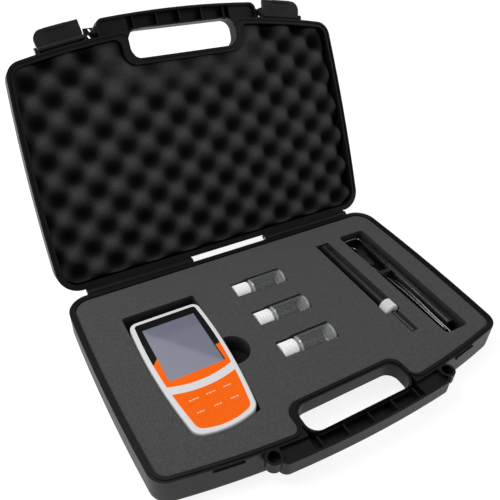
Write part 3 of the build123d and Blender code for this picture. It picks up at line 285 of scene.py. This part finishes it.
def screen_material(name):
    """Display behind its window: blue grey, paler towards its lower left, a painted reflection on its
    glass.
    """
    material, tree, shader = new_material(name)
    low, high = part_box("screen_window")
    axes = object_axes(tree)
    across = mapped(tree, axes["X"], low.x, high.x)
    along = mapped(tree, axes["Y"], low.y, high.y)
    diagonal = mapped(tree, combined(tree, "ADD", across, along), 0.0, 2.0)
    # Paler lower left half: a painted reflection on the display.
    tint_with_painted_reflection = [(0.0, (0.255, 0.262, 0.328)), (0.46, (0.24, 0.246, 0.31)), (0.52, (0.175, 0.18, 0.24)),
               (1.0, (0.165, 0.17, 0.22))]
    tree.links.new(ramp(tree, diagonal, tint_with_painted_reflection), shader.inputs["Base Color"])
    shader.inputs["Roughness"].default_value = 0.25
    shader.inputs["Coat Weight"].default_value = 1.0
    shader.inputs["Coat Roughness"].default_value = 0.05
    return material


# ------------------------------------------------------------------ materials
ORANGE = ((0.95, 0.13, 0.003), (0.98, 0.145, 0.005))
GLASS = (0.62, 0.64, 0.64)
# The tray foam's face and its deepest pocket, in metres above the floor.
TRAY_FOAM_TOP = 0.036
TRAY_FOAM_DEEP = 0.013
# How much light reaches the foam, from its deepest place (0) to its face (1).
TRAY_FOAM_SHADE = [(0.0, grey(0.16)), (0.6, grey(0.34)), (0.93, grey(0.7)), (1.0, grey(1.0))]
LID_FOAM_SHADE = [(0.0, grey(0.08)), (0.35, grey(0.2)), (0.75, grey(0.65)), (1.0, grey(1.0))]


def make_materials():
    return {
        "case": plastic("case_plastic", grey(0.003), grey(0.005), 0.46, 1400.0, 0.00003, specular=0.22),
        "latch": plastic("latch_plastic", grey(0.008), grey(0.012), 0.45, 1200.0, 0.00003, specular=0.25),
        "shell": plastic("meter_shell_plastic", (0.7, 0.7, 0.71), (0.75, 0.75, 0.76), 0.42, 2200.0,
                         0.00001),
        "orange": plastic("orange_overlay", *ORANGE, 0.45, 1800.0, 0.00001, specular=0.1),
        "key": plastic("key_rubber", *ORANGE, 0.5, 1500.0, 0.00001, specular=0.1),
        "black_trim": plastic("black_trim", grey(0.004), grey(0.006), 0.3, 900.0, 0.00001, specular=0.25),
        "probe": plastic("probe_plastic", grey(0.004), grey(0.007), 0.4, 1100.0, 0.00003, specular=0.2),
        "seal": rubber("black_rubber", 0.006),
        "boot": rubber("boot_rubber", 0.005, 0.4),
        "lead": plastic("lead_sheath", grey(0.002), grey(0.003), 0.16, 700.0, 0.00001, coat=0.8,
                        specular=0.8),
        "white_cap": plastic("white_cap", grey(0.97), grey(1.0), 0.4, 1800.0, 0.00001, specular=0.5),
        "mark": plastic("key_mark_ink", (0.86, 0.62, 0.42), (0.9, 0.68, 0.5), 0.5, 1500.0, 0.00001),
        "liner": plastic("liner", grey(0.8), grey(0.85), 0.6, 1500.0, 0.00002),
        "collar": plastic("collar_plastic", grey(0.62), grey(0.72), 0.35, 1200.0, 0.00002),
        "stem": plastic("stem_plastic", grey(0.015), grey(0.022), 0.35, 1000.0, 0.00002),
        "tube": plastic("tube_plastic", (0.012, 0.013, 0.014), (0.018, 0.02, 0.02), 0.2, 600.0, 0.00001,
                        coat=0.3),
        "board": plastic("board_mask", (0.01, 0.09, 0.03), (0.012, 0.11, 0.035), 0.35, 600.0, 0.00002),
        "steel": metal("steel_wire", (0.5, 0.5, 0.5)),
        "cells": metal("cell_sleeve", (0.3, 0.3, 0.32), 0.4),
        "glass": clear_glass("clear_glass", GLASS, 0.02),
        "vial": clear_glass("vial_glass", GLASS, 0.06, "vial_1_glass"),
        "foam": foam_material("tray_foam_cells", grey(0.046), grey(0.088), 0.0009, (0, 0, 1), TRAY_FOAM_TOP,
                              TRAY_FOAM_DEEP, TRAY_FOAM_SHADE),
        "crate": foam_material("lid_foam_cells", grey(0.034), grey(0.068), 0.001, LID_INWARD, LID_FACE_HIGH,
                               LID_FACE_LOW, LID_FOAM_SHADE),
        "window": screen_material("display_glass"),
    }


# Slots and nodes whose material isn't the one with the slot's own name.
SLOT_MATERIALS = {"display": "black_trim"}
NODE_MATERIALS = {
    "probe_head": "probe", "probe_body": "probe", "electrode_boot": "boot", "vial_1_glass": "vial",
    "vial_2_glass": "vial", "vial_3_glass": "vial",
}
# Rounding of sharp edges.
BEVELS = {
    "case_tray": 0.5, "case_lid": 0.5, "tray_foam": 0.9, "latch_left": 0.4, "latch_right": 0.4,
}


def finish_cad_nodes(materials):
    slots = {part["node"]: part["material_slot"] for part in frame["record"]["subparts"]}
    for name, piece in frame["nodes"].items():
        own = SLOT_MATERIALS.get(slots[name], slots[name])
        chosen = materials[NODE_MATERIALS.get(name, own)]
        piece.data.materials.clear()
        piece.data.materials.append(chosen)
        if name in BEVELS:
            rounding = piece.modifiers.new("rounding", "BEVEL")
            rounding.width = BEVELS[name] * MM
            rounding.segments = 2
            rounding.limit_method = "ANGLE"
            rounding.angle_limit = math.radians(50)
            rounding.harden_normals = False


# ------------------------------------------------------------------ egg-crate foam in the lid
def lid_place(x, y, z):
    """A point of the shut lid (z from its rim), taken to where it is while the lid is open."""
    from_pin = Vector((x, y, z + LID_RISE)) * MM - Vector((0, HINGE.y, 0))
    return HINGE + Matrix.Rotation(-LID_ANGLE, 3, "X") @ from_pin


def crate_depth(x, y):
    """How far the foam's face lies behind its highest bumps, at a point of the shut lid."""
    wave = math.cos(2 * math.pi * x / CRATE_PITCH_X) * math.cos(2 * math.pi * y / CRATE_PITCH_Y)
    beside = max(abs(x) - BLOCK_HALF, BLOCK_EDGE + y, 0.0)
    full = CRATE_DEPTH * min(beside / CRATE_SLOPE, 1.0)
    shallow = CRATE_SHALLOW_DEPTH * max(1 - beside / CRATE_SLOPE, 0.0)
    return (full + shallow) * (0.5 - 0.5 * wave) ** CRATE_ROUNDNESS


def make_lid_foam(materials):
    """The lid's foam block with a bumpy face: a waved solid, cut to the outline of the CAD block."""
    columns = int(2 * CRATE_HALF_WIDTH / CRATE_STEP) + 1
    rows = int(2 * CRATE_HALF_LENGTH / CRATE_STEP) + 1
    mesh = bmesh.new()
    face, back = [], []
    for row in range(rows):
        y = -CRATE_HALF_LENGTH + row * CRATE_STEP
        face.append([])
        back.append([])
        for column in range(columns):
            x = -CRATE_HALF_WIDTH + column * CRATE_STEP
            face[-1].append(mesh.verts.new(lid_place(x, y, CRATE_FACE + crate_depth(x, y))))
            back[-1].append(mesh.verts.new(lid_place(x, y, CRATE_BACK)))
    for row in range(rows - 1):
        for column in range(columns - 1):
            for side, order in ((face, 1), (back, -1)):
                near, far = side[row], side[row + 1]
                corners = [near[column], far[column], far[column + 1], near[column + 1]]
                mesh.faces.new(corners[::order])
    for line, order in ((0, 1), (rows - 1, -1)):
        for column in range(columns - 1):
            near, far = face[line], back[line]
            corners = [near[column], near[column + 1], far[column + 1], far[column]]
            mesh.faces.new(corners[::order])
    for line, order in ((0, -1), (columns - 1, 1)):
        for row in range(rows - 1):
            corners = [face[row][line], face[row + 1][line], back[row + 1][line], back[row][line]]
            mesh.faces.new(corners[::order])
    bmesh.ops.recalc_face_normals(mesh, faces=mesh.faces)
    wave_data = bpy.data.meshes.new("crate_wave")
    mesh.to_mesh(wave_data)
    mesh.free()
    wave_block = bpy.data.objects.new("crate_wave", wave_data)
    bpy.context.scene.collection.objects.link(wave_block)

    source = frame["nodes"]["lid_foam"]
    crate = bpy.data.objects.new("lid_egg_crate", source.data.copy())
    bpy.context.scene.collection.objects.link(crate)
    crate.matrix_world = source.matrix_world.copy()
    cut = crate.modifiers.new("waves", "BOOLEAN")
    cut.operation = "INTERSECT"
    cut.solver = "EXACT"
    cut.object = wave_block
    bpy.context.view_layer.update()
    evaluated = crate.evaluated_get(bpy.context.evaluated_depsgraph_get())
    shaped = bpy.data.meshes.new_from_object(evaluated)
    crate.modifiers.clear()
    crate.data = shaped
    bpy.data.objects.remove(wave_block)
    for polygon in shaped.polygons:
        polygon.use_smooth = True
    shaped.materials.clear()
    shaped.materials.append(materials["crate"])
    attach(crate, "lid")
    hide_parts("lid_foam")


# ------------------------------------------------------------------ the electrode's lead
LEAD_RADIUS = 1.6
# The path of the lead, in millimetres: four lanes of the slot with the folds between them.
LEAD_ROUTE = [
    (178.6, 74.2, 27), (178.8, 79, 27), (178.2, 86.2, 27), (168, 87.4, 27), (155, 87.2, 27),
    (150.6, 82, 26.6), (150.5, 70, 22), (150.4, 60, 16), (150.4, 40, 15.8), (150.4, 0, 15.9),
    (150.4, -40, 16.4), (150.4, -80, 16), (150.4, -103, 16), (150.6, -111.6, 17), (156, -113.0, 21.8),
    (161.3, -111.6, 26.8), (161.2, -103, 27.4), (161.0, -80, 28.6), (162.4, -50, 30), (163.4, -20, 29),
    (164.4, -6, 26), (165.6, 8, 17.5), (166.2, 20, 15.8), (166.4, 45, 15.8), (167.6, 60, 15.8),
    (170.8, 70, 15.8), (170.8, 80, 15.8), (166.6, 84.4, 15.8), (158.4, 84.4, 15.8), (154.4, 80, 15.8),
    (154.3, 70, 15.8), (154.3, 40, 15.8), (154.4, 0, 15.9), (154.8, -40, 15.9), (154.6, -80, 15.8),
    (154.5, -98, 15.9), (154.5, -107, 16.4), (154.5, -107.4, 24), (154.5, -107, 31.6), (154.5, -98, 32.2),
    (154.8, -80, 32.2), (156.4, -45, 32.2), (156.0, -10, 31), (156.0, 10, 27.6), (156.0, 18, 27),
    (156.0, 26, 27),
]


def make_lead(materials):
    """One lead, folded in the slot: from the cap down, up, down and up again to its plug."""
    data = bpy.data.curves.new("electrode_lead", "CURVE")
    data.dimensions = "3D"
    data.bevel_depth = LEAD_RADIUS * MM
    data.bevel_resolution = 4
    data.resolution_u = 6
    data.use_fill_caps = True
    spline = data.splines.new("NURBS")
    spline.points.add(len(LEAD_ROUTE) - 1)
    for point, place in zip(spline.points, LEAD_ROUTE):
        point.co = (*(Vector(place) * MM), 1.0)
    spline.order_u = 3
    spline.use_endpoint_u = True
    data.materials.append(materials["lead"])
    lead = bpy.data.objects.new("electrode_lead", data)
    bpy.context.scene.collection.objects.link(lead)
    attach(lead, "electrode")
    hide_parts("lead_hank")


# ------------------------------------------------------------------ pale marks on the keys
MARK_WIDTH = 1.1
MARK_THICKNESS = 0.06
MARK_MIDDLE = 0.02  # above the key's face
# For each key, the middle of each bar from the middle of the key, and its length.
MARKS = {
    1: ((-4.0, 2.4), (-1.2, 1.8), (1.2, 1.8), (4.0, 2.4)),
    2: ((-4.0, 2.4), (-0.6, 2.6), (2.4, 1.6), (4.4, 1.2)),
    3: ((-3.4, 1.8), (-0.6, 2.2), (2.6, 2.4)),
    4: ((-2.8, 1.8), (0.0, 2.2), (2.8, 1.8)),
    5: ((-3.0, 1.4), (-0.4, 2.2), (2.8, 2.0)),
    6: ((-3.4, 1.4), (-0.8, 2.4), (2.8, 2.2)),
}


def make_key_marks(materials):
    """Plain pale bars, printed on each key."""
    for number, bars in MARKS.items():
        low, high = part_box(f"key_{number}")
        middle = (low + high) / 2
        mesh = bmesh.new()
        for offset, length in bars:
            place = Matrix.Translation((middle.x + offset * MM, middle.y, high.z + MARK_MIDDLE * MM))
            size = Matrix.Diagonal((length * MM, MARK_WIDTH * MM, MARK_THICKNESS * MM, 1.0))
            bmesh.ops.create_cube(mesh, size=1.0, matrix=place @ size)
        data = bpy.data.meshes.new(f"key_mark_{number}")
        mesh.to_mesh(data)
        mesh.free()
        data.materials.append(materials["mark"])
        mark = bpy.data.objects.new(f"key_mark_{number}", data)
        bpy.context.scene.collection.objects.link(mark)
        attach(mark, f"button_{number}")


# ------------------------------------------------------------------ floor and light
FLOOR_SIZE = 12.0  # metres
FLOOR_GLOW = 0.85
SKY_STRENGTH = 0.36
LIGHT_AIM = (0, 0, 0.05)
KEY_LIGHT_WATTS = 25
FILL_LIGHT_WATTS = 3.5


def soft_light(name, place, aim, width, power):
    data = bpy.data.lights.new(name, "AREA")
    data.shape = "SQUARE"
    data.size = width
    data.energy = power
    lamp = bpy.data.objects.new(name, data)
    bpy.context.scene.collection.objects.link(lamp)
    lamp.location = place
    lamp.rotation_euler = (Vector(place) - Vector(aim)).to_track_quat("Z", "Y").to_euler()


def make_studio():
    bpy.ops.mesh.primitive_plane_add(size=FLOOR_SIZE, location=(0, 0, cad_low.z))
    floor = bpy.context.object
    floor.name = "floor"
    material, tree, shader = new_material("floor_paper")
    tone = object_noise(tree, 3.0)
    tree.links.new(ramp(tree, tone, [(0.3, grey(0.3)), (0.7, grey(0.32))]), shader.inputs["Base Color"])
    shader.inputs["Roughness"].default_value = 0.9
    shader.inputs["Emission Color"].default_value = (1, 1, 1, 1)
    shader.inputs["Emission Strength"].default_value = FLOOR_GLOW
    floor.data.materials.append(material)
    floor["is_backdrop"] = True
    world = bpy.data.worlds.new("studio")
    bpy.context.scene.world = world
    world.use_nodes = True
    world.node_tree.nodes["Background"].inputs["Color"].default_value = (1, 1, 1, 1)
    world.node_tree.nodes["Background"].inputs["Strength"].default_value = SKY_STRENGTH
    soft_light("key_light", (-0.9, 0.5, 1.6), LIGHT_AIM, 1.0, KEY_LIGHT_WATTS)
    soft_light("fill_light", (1.2, -0.6, 1.1), LIGHT_AIM, 1.2, FILL_LIGHT_WATTS)
    bpy.context.scene.view_settings.view_transform = "Standard"


make_camera()
materials = make_materials()
finish_cad_nodes(materials)
make_lid_foam(materials)
make_lead(materials)
make_key_marks(materials)
make_studio()
